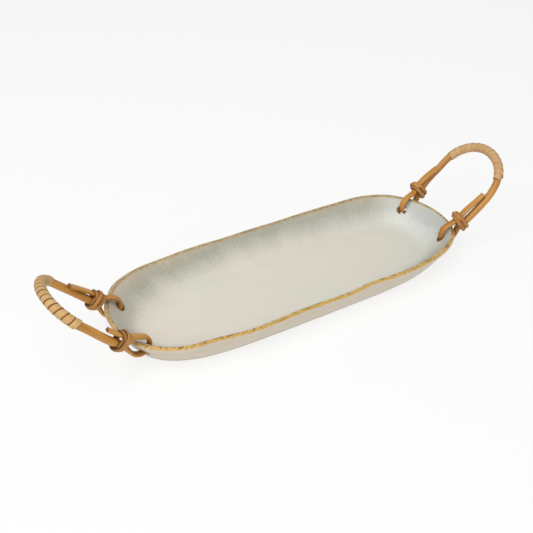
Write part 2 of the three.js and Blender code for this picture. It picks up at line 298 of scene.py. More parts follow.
@dataclass(frozen=True)
class StonewareGlaze(Finish):
    """Satin stoneware glaze: cream in the well, a grey-green run down the wall, and ochre where it breaks."""

    name: str = "glazed stoneware"
    cream: str = "#ded8cb"
    blush: str = "#dfd4c9"
    celadon: str = "#d9d9cb"
    # Tones of the run by millimetres below the rim, on most of the wall and at the cooler right end
    run_tones: tuple[tuple[float, str], ...] = (
        (0.0, "#b7a993"), (5.0, "#aaa291"), (12.0, "#a09e8f"), (20.0, "#acab9e"), (32.0, "#c1beb1"),
    )
    cool_tones: tuple[tuple[float, str], ...] = (
        (0.0, "#b4a58b"), (4.0, "#ada593"), (11.0, "#a8a99b"), (20.0, "#b6b8ae"), (32.0, "#c6c6bc"),
    )
    tone_depth: float = 40.0
    ice: str = "#d8dedd"
    slate: str = "#bdc5c5"
    straw: str = "#d8c48b"
    gold: str = "#cca14c"
    olive: str = "#bba87f"
    iron: str = "#74531f"
    greige: str = "#d0c3b0"
    shade: str = "#c4b8a5"
    raw_clay: str = "#c9a163"
    hole_ring: str = "#967338"
    speck: str = "#9a9180"
    ior: float = 1.5
    # Millimetres between the streaks, drips and sheets of the run, how many times as long as wide they are,
    # and how many millimetres they shift its edge
    streak: float = 2.0
    drip: float = 9.09
    sheet: float = 30.3
    run_stretch: float = 5.0
    run_wander: float = 18.0
    # Millimetres between the specks, the spots of the mottle, its clouds and drifts, and the lines outside
    spot: float = 2.0
    mottle: float = 1.22
    cloud: float = 62.5
    drift: float = 90.9
    line_height: float = 3.03
    line_length: float = 71.4
    # Length and width of the rim's iron ticks, and millimetres between the places where they gather
    tick: tuple[float, float] = (2.0, 1.25)
    tide: float = 7.69

    def lay_out(self, add: AddNode) -> bpy.types.Node:
        """Lays out the nodes of the glaze.

        Args:
            add: adds a node to the material's tree.

        Returns:
            The shader.
        """
        place = add("ShaderNodeTexCoord").outputs["Object"]
        metres = add("ShaderNodeSeparateXYZ", (place,)).outputs
        run = add("ShaderNodeAttribute", attribute_name="run").outputs["Vector"]
        lip = add("ShaderNodeAttribute", attribute_name="lip").outputs["Fac"]
        depth = add("ShaderNodeSeparateXYZ", (run,)).outputs["Z"]
        mottle_scale = 1 / (self.mottle * MM)
        mottle = add("ShaderNodeTexNoise", {"Vector": place, "Scale": mottle_scale, "Detail": 3.0})
        cloud_scale = 1 / (self.cloud * MM)
        clouds = add("ShaderNodeTexNoise", {"Vector": place, "Scale": cloud_scale, "Detail": 3.0})
        behind = add("ShaderNodeMapRange", (metres["Y"], -0.04, 0.05), interpolation_type="SMOOTHSTEP")
        marks = GlazeMarks(place, metres["X"], metres["Z"], run, depth, mottle, clouds, behind)

        body = coat(add, self.outside(add, marks), self.inside(add, marks), depth, (-2.0, 0.0))
        rim = self.rim(add, marks)
        rimmed = add("ShaderNodeMix", (self.rim_share(add, marks), body, rim), data_type="RGBA")
        # The glaze breaks to brown round each hole
        ring_in = add("ShaderNodeMapRange", (lip, 0.15, 0.5))
        ring_out = add("ShaderNodeMapRange", (lip, 0.7, 1.0, 1.0, 0.85))
        ring = add("ShaderNodeMath", (ring_in, ring_out), operation="MULTIPLY")
        ringed = add("ShaderNodeMix", (ring, rimmed, linear(self.hole_ring)), data_type="RGBA")
        spot_scale = 1 / (self.spot * MM)
        spots = add("ShaderNodeTexNoise", {"Vector": place, "Scale": spot_scale, "Detail": 1.0})
        colour = coat(add, ringed, self.speck, spots, (0.73, 0.78, 0.0, 0.5))
        gloss = add("ShaderNodeMapRange", (mottle, 0.3, 0.7, 0.36, 0.48))
        bump = add("ShaderNodeBump", {"Strength": 0.25, "Distance": 0.4 * MM, "Height": clouds})
        looks = {"Base Color": colour, "Roughness": gloss, "IOR": self.ior, "Normal": bump}
        return add("ShaderNodeBsdfPrincipled", looks)

    def well(self, add: AddNode, marks: GlazeMarks) -> bpy.types.Node:
        """Colours the well: cream, clouded with blush and with drifts of celadon.

        Args:
            add: adds a node to the material's tree.
            marks: what the patterns are drawn from.

        Returns:
            The colour.
        """
        drift_scale = 1 / (self.drift * MM)
        drifts = add("ShaderNodeTexNoise", {"Vector": marks.place, "Scale": drift_scale, "Detail": 2.0})
        warm = coat(add, self.cream, self.blush, marks.clouds, (0.35, 0.75))
        return coat(add, warm, self.celadon, drifts, (0.4, 0.75))

    def inside(self, add: AddNode, marks: GlazeMarks) -> bpy.types.Node:
        """Colours the inside: the run that comes down the wall into the well.

        Args:
            add: adds a node to the material's tree.
            marks: what the patterns are drawn from.

        Returns:
            The colour.
        """
        stretch = (1, 1, 1 / self.run_stretch)
        drawn = add("ShaderNodeVectorMath", (marks.run, stretch), operation="MULTIPLY")
        streak = add("ShaderNodeTexNoise", {"Vector": drawn, "Scale": 1 / self.streak, "Detail": 3.0})
        drip = add("ShaderNodeTexNoise", {"Vector": drawn, "Scale": 1 / self.drip, "Detail": 2.0})
        sheet = add("ShaderNodeTexNoise", {"Vector": drawn, "Scale": 1 / self.sheet, "Detail": 2.0})
        well = self.well(add, marks)

        # The run reaches lowest at the left end and least in the middle, and its edge is uneven
        short = add("ShaderNodeMapRange", (marks.x, -0.15, -0.01, -4.0, 5.5))
        long = add("ShaderNodeMapRange", (marks.x, 0.02, 0.13, 0.0, -6.0))
        nearer = add("ShaderNodeMath", (marks.depth, short), operation="ADD")
        lowered = add("ShaderNodeMath", (nearer, long), operation="ADD")
        sheeted = add("ShaderNodeMath", (sheet, self.run_wander, lowered), operation="MULTIPLY_ADD")
        streaked = add("ShaderNodeMath", (streak, self.run_wander, sheeted), operation="MULTIPLY_ADD")
        frayed = add("ShaderNodeMath", (streak, 4.0, sheeted), operation="MULTIPLY_ADD")
        feathered = add("ShaderNodeMath", (marks.mottle, 40.0, frayed), operation="MULTIPLY_ADD")
        lowest = self.run_wander + self.tone_depth
        toned = add("ShaderNodeMapRange", (streaked, self.run_wander, lowest))
        ramps = []
        for tones in (self.run_tones, self.cool_tones):
            ramp = add("ShaderNodeValToRGB", (toned,))
            while len(ramp.color_ramp.elements) < len(tones):
                ramp.color_ramp.elements.new(0.5)
            for element, (millimetres, tone) in zip(ramp.color_ramp.elements, tones):
                element.position = millimetres / self.tone_depth
                element.color = linear(tone)
            ramps.append(ramp)
        band = coat(add, *ramps, marks.x, (-0.02, 0.15), smooth=True)
        run_in = coat(add, band, well, feathered, (35.0, 86.0), smooth=True)

        # It is thinner at both ends, and thin beige drips hang from the rim into it
        from_middle = add("ShaderNodeMath", (marks.x,), operation="ABSOLUTE")
        thinned = coat(add, run_in, well, from_middle, (0.135, 0.172, 0.0, 0.32))
        high = add("ShaderNodeMapRange", (streaked, 20.0, 32.0, 0.45, 0.0))
        dripped = add("ShaderNodeMapRange", (drip, 0.42, 0.62))
        hung = add("ShaderNodeMath", (high, dripped), operation="MULTIPLY")
        hung_in = add("ShaderNodeMix", (hung, thinned, linear(self.shade)), data_type="RGBA")

        # At the right end it cools to slate near the rim, and to a paler ice further down
        frosted = coat(add, self.slate, self.ice, toned, (0.25, 0.6), smooth=True)
        return coat(add, hung_in, frosted, marks.x, (0.14, 0.17, 0.0, 0.55), smooth=True)

    def outside(self, add: AddNode, marks: GlazeMarks) -> bpy.types.Node:
        """Colours the outside: faint level lines left by turning, painted light that makes it paler low down
        against the shade near the floor, and a bare clay foot.

        Args:
            add: adds a node to the material's tree.
            marks: what the patterns are drawn from.

        Returns:
            The colour.
        """
        level = 1 / (self.line_length * MM)
        levels = (level, level, 1 / (self.line_height * MM))
        laid = add("ShaderNodeMapping", {"Vector": marks.place, "Scale": levels})
        lines = add("ShaderNodeTexNoise", {"Vector": laid, "Scale": 1.0, "Detail": 2.0})
        wall = coat(add, self.greige, self.shade, lines, (0.35, 0.7, 0.0, 0.6))
        # Painted light: the wall is made paler over its lowest 18 mm, to offset the shade that falls near the
        # floor
        painted_light_low = coat(add, wall, self.cream, marks.z, (0.002, 0.018, 0.6, 0.0))
        return coat(add, self.raw_clay, painted_light_low, marks.z, (0.0012, 0.0024))

    def rim(self, add: AddNode, marks: GlazeMarks) -> bpy.types.Node:
        """Colours the rim: gold outside, straw inside and olive behind, with ticks and freckles of iron.

        Args:
            add: adds a node to the material's tree.
            marks: what the patterns are drawn from.

        Returns:
            The colour.
        """
        front = coat(add, self.gold, self.straw, marks.depth, (-1.2, 1.4))
        broken = add("ShaderNodeMix", (marks.behind, front, linear(self.olive)), data_type="RGBA")
        # Iron gathers in ticks, mostly inside the rim's crest and less behind, and in freckles
        length, width = self.tick
        size = (1 / length, 1 / length, 1 / width)
        stretched = add("ShaderNodeVectorMath", (marks.run, size), operation="MULTIPLY")
        dashes = add("ShaderNodeTexNoise", {"Vector": stretched, "Scale": 1.0, "Detail": 2.0})
        crest = add("ShaderNodeMapRange", (marks.depth, -1.6, 1.0, -0.1, 0.06))
        tides = add("ShaderNodeTexNoise", {"Vector": marks.run, "Scale": 1 / self.tide, "Detail": 1.0})
        gathered = add("ShaderNodeMath", (dashes, crest), operation="ADD")
        thickened = add("ShaderNodeMath", (tides, 0.4, gathered), operation="MULTIPLY_ADD")
        dash = add("ShaderNodeMapRange", (thickened, 0.69, 0.77, 0.0, 0.9))
        fewer = add("ShaderNodeMapRange", (marks.behind, 0.0, 1.0, 1.0, 0.55))
        kept = add("ShaderNodeMath", (dash, fewer), operation="MULTIPLY")
        dashed = add("ShaderNodeMix", (kept, broken, linear(self.iron)), data_type="RGBA")
        return coat(add, dashed, self.iron, marks.mottle, (0.54, 0.66, 0.0, 0.7))

    def rim_share(self, add: AddNode, marks: GlazeMarks) -> bpy.types.Node:
        """Marks where the glaze breaks on the rim, with ragged edges and wider behind.

        Args:
            add: adds a node to the material's tree.
            marks: what the patterns are drawn from.

        Returns:
            1 on the rim and 0 elsewhere.
        """
        ragged = add("ShaderNodeMath", (marks.mottle, 2.4, marks.depth), operation="MULTIPLY_ADD")
        widened = add("ShaderNodeMath", (marks.behind, -1.5, ragged), operation="MULTIPLY_ADD")
        inner = add("ShaderNodeMapRange", (widened, 2.0, 3.0, 1.0, 0.0))
        outer = add("ShaderNodeMapRange", (ragged, -2.0, -1.2))
        return add("ShaderNodeMath", (inner, outer), operation="MULTIPLY")


@dataclass(frozen=True)
class RattanCane(Finish):
    """Rattan cane with its skin on: honey-coloured and satin, with fine grain and brown cut ends; its split
    side is browned, partly by painted shade.
    """

    name: str = "rattan cane"
    honey: str = "#c38733"
    pale: str = "#d8a44f"
    amber: str = "#aa7023"
    dark_grain: str = "#85531c"
    cut_end: str = "#6e461b"
    ior: float = 1.5
    # Millimetres across and along the vessels, and across and along the patches of tone
    vessel: tuple[float, float] = (0.625, 25.0)
    patch: tuple[float, float] = (5.0, 62.5)

    def lay_out(self, add: AddNode) -> bpy.types.Node:
        """Lays out the nodes of the cane.

        Args:
            add: adds a node to the material's tree.

        Returns:
            The shader.
        """
        grain = add("ShaderNodeAttribute", attribute_name="grain").outputs["Vector"]
        cut = add("ShaderNodeAttribute", attribute_name="cut").outputs["Fac"]
        patterns = []
        for across, along in (self.vessel, self.patch):
            size = (1 / across, 1 / across, 1 / along)
            sized = add("ShaderNodeVectorMath", (grain, size), operation="MULTIPLY")
            patterns.append(add("ShaderNodeTexNoise", {"Vector": sized, "Scale": 1.0, "Detail": 2.0}))
        vessels, patches = patterns
        base = coat(add, self.amber, self.honey, patches, (0.35, 0.65), smooth=True)
        streaked = coat(add, base, self.pale, vessels, (0.48, 0.72, 0.0, 0.55))
        grained = coat(add, streaked, self.dark_grain, vessels, (0.45, 0.28, 0.0, 0.4))
        # Cut ends are brown; the split side takes some of that brown, partly its own tone and partly painted
        # shade
        colour = add("ShaderNodeMix", (cut, grained, linear(self.cut_end)), data_type="RGBA")
        gloss = add("ShaderNodeMapRange", (cut, 0.0, 1.0, 0.4, 0.75))
        bump = add("ShaderNodeBump", {"Strength": 0.3, "Distance": 0.2 * MM, "Height": vessels})
        looks = {"Base Color": colour, "Roughness": gloss, "IOR": self.ior, "Normal": bump}
        return add("ShaderNodeBsdfPrincipled", looks)


@dataclass(frozen=True)
class CaneStrip(Finish):
    """Strip split from cane: fibres along its length, paler patches, and painted shade that darkens its edges
    where neighbouring strips meet.
    """

    name: str
    skin: str
    pale: str
    dark: str
    edge: str
    edge_shade_from: float
    roughness: float = 0.5
    ior: float = 1.5
    # Millimetres along and across the fibres, and along and across the patches of tone
    fibre: tuple[float, float] = (12.5, 0.476)
    patch: tuple[float, float] = (20.0, 4.0)

    def lay_out(self, add: AddNode) -> bpy.types.Node:
        """Lays out the nodes of the strip.

        Args:
            add: adds a node to the material's tree.

        Returns:
            The shader.
        """
        strip = add("ShaderNodeAttribute", attribute_name="strip").outputs["Vector"]
        from_middle = add("ShaderNodeSeparateXYZ", (strip,)).outputs["Z"]
        patterns = []
        for (along, across), detail in ((self.fibre, 3.0), (self.patch, 2.0)):
            size = (1 / along, 1 / across, 0.0)
            sized = add("ShaderNodeVectorMath", (strip, size), operation="MULTIPLY")
            patterns.append(add("ShaderNodeTexNoise", {"Vector": sized, "Scale": 1.0, "Detail": detail}))
        fibres, patches = patterns
        base = coat(add, self.skin, self.pale, patches, (0.38, 0.66), smooth=True)
        streaked = coat(add, base, self.dark, fibres, (0.5, 0.3, 0.0, 0.5))
        # Painted shade: the edges darken towards the edge colour, standing in for the shade in the joins
        # between turns and strands
        colour = coat(add, streaked, self.edge, from_middle, (self.edge_shade_from, 1.0, 0.0, 0.85))
        bump = add("ShaderNodeBump", {"Strength": 0.4, "Distance": 0.2 * MM, "Height": fibres})
        looks = {"Base Color": colour, "Roughness": self.roughness, "IOR": self.ior, "Normal": bump}
        return add("ShaderNodeBsdfPrincipled", looks)


@dataclass(frozen=True)
class PaperFloor(Finish):
    """Matt white paper, which the camera sees near white and which keeps a soft shadow."""

    name: str = "white paper floor"
    white: str = "#f4f4f2"
    seen_share: float = 0.8

    def lay_out(self, add: AddNode) -> bpy.types.Node:
        """Lays out the nodes of the floor.

        Args:
            add: adds a node to the material's tree.

        Returns:
            The shader.
        """
        share = add("ShaderNodeMath", (seen_itself(add), self.seen_share), operation="MULTIPLY")
        matt = add("ShaderNodeBsdfDiffuse", {"Color": linear(self.white)})
        glow = add("ShaderNodeEmission", {"Color": (1, 1, 1, 1), "Strength": 1.0})
        return add("ShaderNodeMixShader", (share, matt, glow))


GLAZE = StonewareGlaze()
CANE = RattanCane()
# The edge colours of these strips are painted shade along their edges, where neighbouring strips meet
PEEL = CaneStrip(
    "cane peel", skin="#c39a67", pale="#d0a876", dark="#aa7d47", edge="#8f6233", edge_shade_from=0.92
)
YELLOW_PEEL = CaneStrip(
    "yellow cane peel", skin="#c39b62", pale="#d0a970", dark="#a97d44", edge="#8a6230", edge_shade_from=0.88
)
SPLIT_CANE = CaneStrip(
    "split cane", skin="#a66c2c", pale="#c18840", dark="#6f4216", edge="#3a1f07", edge_shade_from=0.78
)
PAPER = PaperFloor()


class Face(Enum):
    """The two faces of the dish's wall."""

    INNER = -1
    OUTER = 1


@dataclass
class ProfileRow:
    """One row of the dish's half section: its place, its length from the rim's top and its wall face."""

    inset: float
    height: float
    depth: float = 0.0
    face: Face | None = None

    def apart(self, other: ProfileRow) -> float:
        """Distance to another row."""
        return math.hypot(self.inset - other.inset, self.height - other.height)

    def around(self, radius: float, angle: float) -> ProfileRow:
        """Row at a radius and an angle about this one."""
        return ProfileRow(self.inset - radius * math.cos(angle), self.height + radius * math.sin(angle))

    def toward(self, other: ProfileRow, share: float, face: Face) -> ProfileRow:
        """Row of a wall face at a share of the way to another row."""
        inset = lerp(self.inset, other.inset, share)
        return ProfileRow(inset, lerp(self.height, other.height, share), face=face)


@dataclass
class Dish:
    """The glazed dish: a long oval with leaning walls, a round rim and four holes."""

    rim_length: float = 372.0
    rim_width: float = 147.0
    rim_height: float = 29.5
    side_power: float = 4.8
    end_power: float = 2.2
    bead_radius: float = 2.4
    outer_lean: float = math.radians(33)
    inner_lean: float = math.radians(45)
    floor_thickness: float = 6.0
    cove_radius: float = 18.0
    foot_radius: float = 3.0

    # Middle of each hole from the dish's middle, its size, and the slope of the wall there
    hole_x: float = 166.68
    hole_y: float = 32.0
    hole_z: float = 17.40
    hole_radius: float = 4.61
    hole_slope: float = math.radians(44.69)
    lip_radius: float = 0.6

    # Hand forming fades out along the dish before its ends, and across it to the floor's middle line
    forming_fade: tuple[float, float] = (140.0, 95.0)
    middle_half: float = 20.0
    sway: float = 0.6
    sway_wave: float = 55.0
    heave: float = 0.7
    heave_wave: float = 38.0
    # Push of each corner by its end and side, its shares along and across the dish, and where a corner is
    corner_push: dict[tuple[float, float], float] = field(
        default_factory=lambda: {(-1, 1): 2.6, (1, 1): 1.9, (-1, -1): 0.0, (1, -1): -0.8}
    )
    corner_shares: tuple[float, float] = (0.45, 0.85)
    corner_x: tuple[float, float] = (100.0, 135.0)
    corner_y: tuple[float, float] = (41.0, 56.0)
    # Dents of the front wall and the rise of the back one: place along it, half length and size
    front_dents: tuple[tuple[float, float, float], ...] = ((-116, 34, 3.0), (-22, 52, 1.9), (50, 34, 2.8))
    back_rise: tuple[float, float, float] = (-86, 48, 1.7)
    # Waves of the floor, and of the foot's trimmed edge along and across the dish
    floor_from: float = 30.0
    floor_heave: float = 0.25
    floor_wave: float = 45.0
    trim_from: float = -25.0
    trim_below: float = 4.0
    trim: tuple[float, float] = (0.4, 0.7)
    trim_wave: float = 17.0

    # Fineness of the mesh
    columns: int = 704
    spacing_steps: int = 40
    wall_step: float = 1.22
    base_shares: tuple[float, ...] = (0, 0.3, 0.6, 0.85, 0.96)
    foot_steps: int = 6
    bead_steps: int = 14
    cove_steps: int = 10
    floor_steps: int = 9
    patch_half: int = 6
    lip_steps: int = 4
    probe: float = 14.0
    probe_rounds: int = 36
    weld: float = 0.02

    def inset_at(self, height: float, face: Face) -> float:
        """Measures how far in from the rim's outer edge a wall face lies.

        Args:
            height: height above the table.
            face: which face.

        Returns:
            The distance.
        """
        lean = self.outer_lean if face is Face.OUTER else self.inner_lean
        middle = self.bead_radius + (self.rim_height - self.bead_radius - height) * math.tan(lean)
        return middle - face.value * self.bead_radius / math.cos(lean)

    def reach(self, inset: float, y: float) -> float:
        """Half length of the outline at a distance y from the long axis."""
        share = abs(y) / (self.rim_width / 2 - inset)
        return (self.rim_length / 2 - inset) * max(1 - share**self.end_power, 0.0) ** (1 / self.side_power)

    def outline_point(self, inset: float, angle: float) -> Vector:
        """Finds a point of the outline.

        Args:
            inset: distance in from the rim's outer edge.
            angle: the outline's parameter, a full turn round the dish.

        Returns:
            The point, at height 0.
        """
        x = (self.rim_length / 2 - inset) * flatten(math.cos(angle), self.side_power)
        y = (self.rim_width / 2 - inset) * flatten(math.sin(angle), self.end_power)
        return Vector((x, y, 0))

    def profile(self) -> list[ProfileRow]:
        """Lays out the rows of the half section from the middle of the base to the middle of the floor.

        Returns:
            The rows, with their length along the section from the rim's top, below zero outside.
        """
        half = self.rim_width / 2
        bead_height = self.rim_height - self.bead_radius
        foot_inset = self.inset_at(self.foot_radius, Face.OUTER)
        foot_inset += self.foot_radius / math.cos(self.outer_lean)
        cove_height = self.floor_thickness + self.cove_radius
        cove_inset = self.inset_at(cove_height, Face.INNER) + self.cove_radius / math.cos(self.inner_lean)

        def arc(middle: ProfileRow, radius: float, start: float, end: float, steps: int) -> list[ProfileRow]:
            """Rows of a round stretch about a middle."""
            return [middle.around(radius, lerp(start, end, i / steps)) for i in range(steps + 1)]

        def wall(face: Face, start: ProfileRow, end: ProfileRow) -> list[ProfileRow]:
            """Rows of a wall face between two other rows."""
            steps = round(start.apart(end) / self.wall_step)
            return [start.toward(end, i / steps, face) for i in range(1, steps)]

        base = [ProfileRow(lerp(half, foot_inset, share), 0.0) for share in self.base_shares]
        middle = ProfileRow(foot_inset, self.foot_radius)
        foot = arc(middle, self.foot_radius, -math.pi / 2, -self.outer_lean, self.foot_steps)
        middle = ProfileRow(self.bead_radius, bead_height)
        bead = arc(middle, self.bead_radius, -self.outer_lean, math.pi - self.inner_lean, self.bead_steps)
        middle = ProfileRow(cove_inset, cove_height)
        cove = arc(middle, self.cove_radius, -self.inner_lean, -math.pi / 2, self.cove_steps)
        floor = [
            ProfileRow(lerp(cove_inset, half, i / self.floor_steps), self.floor_thickness)
            for i in range(1, self.floor_steps + 1)
        ]
        outer = wall(Face.OUTER, foot[-1], bead[0])
        inner = wall(Face.INNER, bead[-1], cove[0])
        rows = [*base, *foot, *outer, *bead, *inner, *cove, *floor]

        top = max(range(len(rows)), key=lambda i: rows[i].height)
        for before, row in pairwise(rows[top:]):
            row.depth = before.depth + row.apart(before)
        for before, row in pairwise(rows[top::-1]):
            row.depth = before.depth - row.apart(before)
        return rows

    def column_angles(self) -> list[float]:
        """Spaces the columns evenly along the rim.

        Returns:
            The outline's parameter at each column.
        """
        count = self.spacing_steps * self.columns
        angles = [2 * math.pi * i / count for i in range(count + 1)]
        lengths = lengths_along([self.outline_point(0, angle) for angle in angles])
        spaced = []
        for i in range(self.columns):
            mark, share = spot_at(lengths, lengths[-1] * (i + 0.5) / self.columns)
            spaced.append(lerp(angles[mark], angles[mark + 1], share))
        return spaced

    def hand_formed(self, point: Vector, row: ProfileRow) -> Vector:
        """Moves a point off the true form by hand, but not at the ends, which carry the handles.

        Args:
            point: place on the true form.
            row: the profile row that it lies on.

        Returns:
            The moved point.
        """
        end = math.copysign(1, point.x)
        back = math.copysign(1, point.y)
        off_x = min(abs(point.x) / self.middle_half, 1)
        off_y = min(abs(point.y) / self.middle_half, 1)
        side = smoothstep(abs(point.x), *self.forming_fade)
        up = smoothstep(point.z, self.foot_radius, self.rim_height) * off_y
        # Each noise has a lane of its own, so that no two waves match
        sway = noise.noise(Vector((point.x / self.sway_wave, 2.7 * back, 0.4)))
        heave = noise.noise(Vector((point.x / self.heave_wave, 5.1 * back, 7.3)))
        moved = point.copy()
        moved.y -= back * self.sway * (1 + sway) * side * up
        moved.z += self.heave * heave * side * up
        corner = self.corner_push[(end, back)] * smoothstep(abs(point.x), *self.corner_x)
        corner *= smoothstep(abs(point.y), *self.corner_y)
        moved.x += self.corner_shares[0] * end * corner * up
        moved.y += self.corner_shares[1] * back * corner * up
        if back < 0:
            for place, half, dent in self.front_dents:
                moved.y += dent * smoothstep(abs(point.x - place), half, 0) * up
        else:
            place, half, rise = self.back_rise
            moved.z += rise * smoothstep(abs(point.x - place), half, 0) * up
        if row.depth > self.floor_from:
            wave = noise.noise(Vector((point.x / self.floor_wave, point.y / self.floor_wave, 1.9)))
            moved.z += self.floor_heave * wave
        elif row.depth < self.trim_from and point.z < self.trim_below:
            wave = noise.noise(Vector((point.x / self.trim_wave, point.y / self.trim_wave, 3.3)))
            moved.x -= self.trim[0] * end * off_x * (1 + wave) / 2
            moved.y -= self.trim[1] * back * off_y * (1 + wave) / 2
        return moved

    def wall_point(self, face: Face, start: Vector, axis: Vector) -> Vector:
        """Finds where a line along a hole's axis meets a face of the wall.

        Args:
            face: which face.
            start: a point of the line near the wall's middle.
            axis: direction out of the dish.

        Returns:
            The point on the face.
        """
        low, high = -self.probe, self.probe
        for _ in range(self.probe_rounds):
            middle = (low + high) / 2
            point = start + middle * axis
            if abs(point.x) < self.reach(self.inset_at(point.z, face), point.y):
                low = middle
            else:
                high = middle
        return start + low * axis

    def pierce(
        self, bm: bmesh.types.BMesh, grid: list[list[Any]], rows: list[ProfileRow], end: int, side: int
    ) -> list[Any]:
        """Sets one hole with rounded lips into both faces of the wall.

        Args:
            bm: the dish's mesh.
            grid: its vertices by row and column.
            rows: its profile rows.
            end: 1 at the right end of the dish, -1 at the left.
            side: 1 at the back, -1 in front.

        Returns:
            The wall's own vertices inside the hole's surround, which are still to be deleted.
        """
        run = bm.verts.layers.float_vector["run"]
        lip = bm.verts.layers.float["lip"]
        axis = Vector((end * math.sin(self.hole_slope), 0, -math.cos(self.hole_slope)))
        across = Vector((0, 1, 0))
        upward = axis.cross(across)
        centre = Vector((end * self.hole_x, side * self.hole_y, self.hole_z))

        def turn_of(vert: Any) -> float:
            """Angle of a vertex about the hole's axis."""
            spoke = vert.co / MM - centre
            return math.atan2(spoke.dot(upward), spoke.dot(across))

        covered: list[Any] = []
        borders: dict[Face, list[Any]] = {}
        surround = range(-self.patch_half, self.patch_half + 1)
        for face in Face:
            mouth = self.wall_point(face, centre, axis)
            own = [i for i, row in enumerate(rows) if row.face is face]
            row_mid = min(own, key=lambda i: abs(rows[i].height - mouth.z))
            ring = grid[row_mid]
            column_mid = min(range(self.columns), key=lambda c: (ring[c].co / MM - mouth).length)
            border: list[Any] = []
            for i in surround:
                for j in surround:
                    group = border if self.patch_half in (abs(i), abs(j)) else covered
                    group.append(grid[row_mid + i][(column_mid + j) % self.columns])
            borders[face] = sorted(border, key=turn_of)

        turns = [(turn_of(a) + turn_of(b)) / 2 for a, b in zip(borders[Face.INNER], borders[Face.OUTER])]
        rings: dict[Face, list[list[Any]]] = {face: [borders[face]] for face in Face}
        for face in Face:
            for i in range(self.lip_steps + 1):
                bend = i / self.lip_steps * math.pi / 2
                radius = self.hole_radius + self.lip_radius * (1 - math.sin(bend))
                sink = self.lip_radius * (1 - math.cos(bend))
                ring = []
                for outer, turn in zip(borders[face], turns):
                    start = centre + radius * (math.cos(turn) * across + math.sin(turn) * upward)
                    point = self.wall_point(face, start, axis) - face.value * sink * axis
                    vert = bm.verts.new(point * MM)
                    vert[run] = outer[run]
                    vert[lip] = i / self.lip_steps
                    ring.append(vert)
                rings[face].append(ring)
        for before, after in pairwise(rings[Face.INNER] + rings[Face.OUTER][::-1]):
            bridge(bm, before, after)
        return covered

    def build(self) -> bpy.types.Object:
        """Makes the dish's mesh.

        Returns:
            The dish, with its place in its mesh.
        """
        rows = self.profile()
        angles = self.column_angles()
        bm = bmesh.new()
        run = bm.verts.layers.float_vector.new("run")
        bm.verts.layers.float.new("lip")
        grid: list[list[Any]] = []
        for row in rows:
            ring = []
            for angle in angles:
                point = self.outline_point(row.inset, angle)
                point.z = row.height
                edge = self.outline_point(0, angle)
                vert = bm.verts.new(self.hand_formed(point, row) * MM)
                vert[run] = (edge.x, edge.y, row.depth)
                ring.append(vert)
            grid.append(ring)
        for lower, upper in pairwise(grid):
            bridge(bm, lower, upper)
        covered: list[Any] = []
        for end in (-1, 1):
            for side in (-1, 1):
                covered += self.pierce(bm, grid, rows, end, side)
        bmesh.ops.delete(bm, geom=covered, context="VERTS")
        bmesh.ops.remove_doubles(bm, verts=grid[0] + grid[-1], dist=self.weld * MM)
        return finished(bm, "dish", GLAZE)

    def dress(self) -> None:
        """Builds the dish and hands it to the frame."""
        hand_over(self.build(), "platter", "platter")


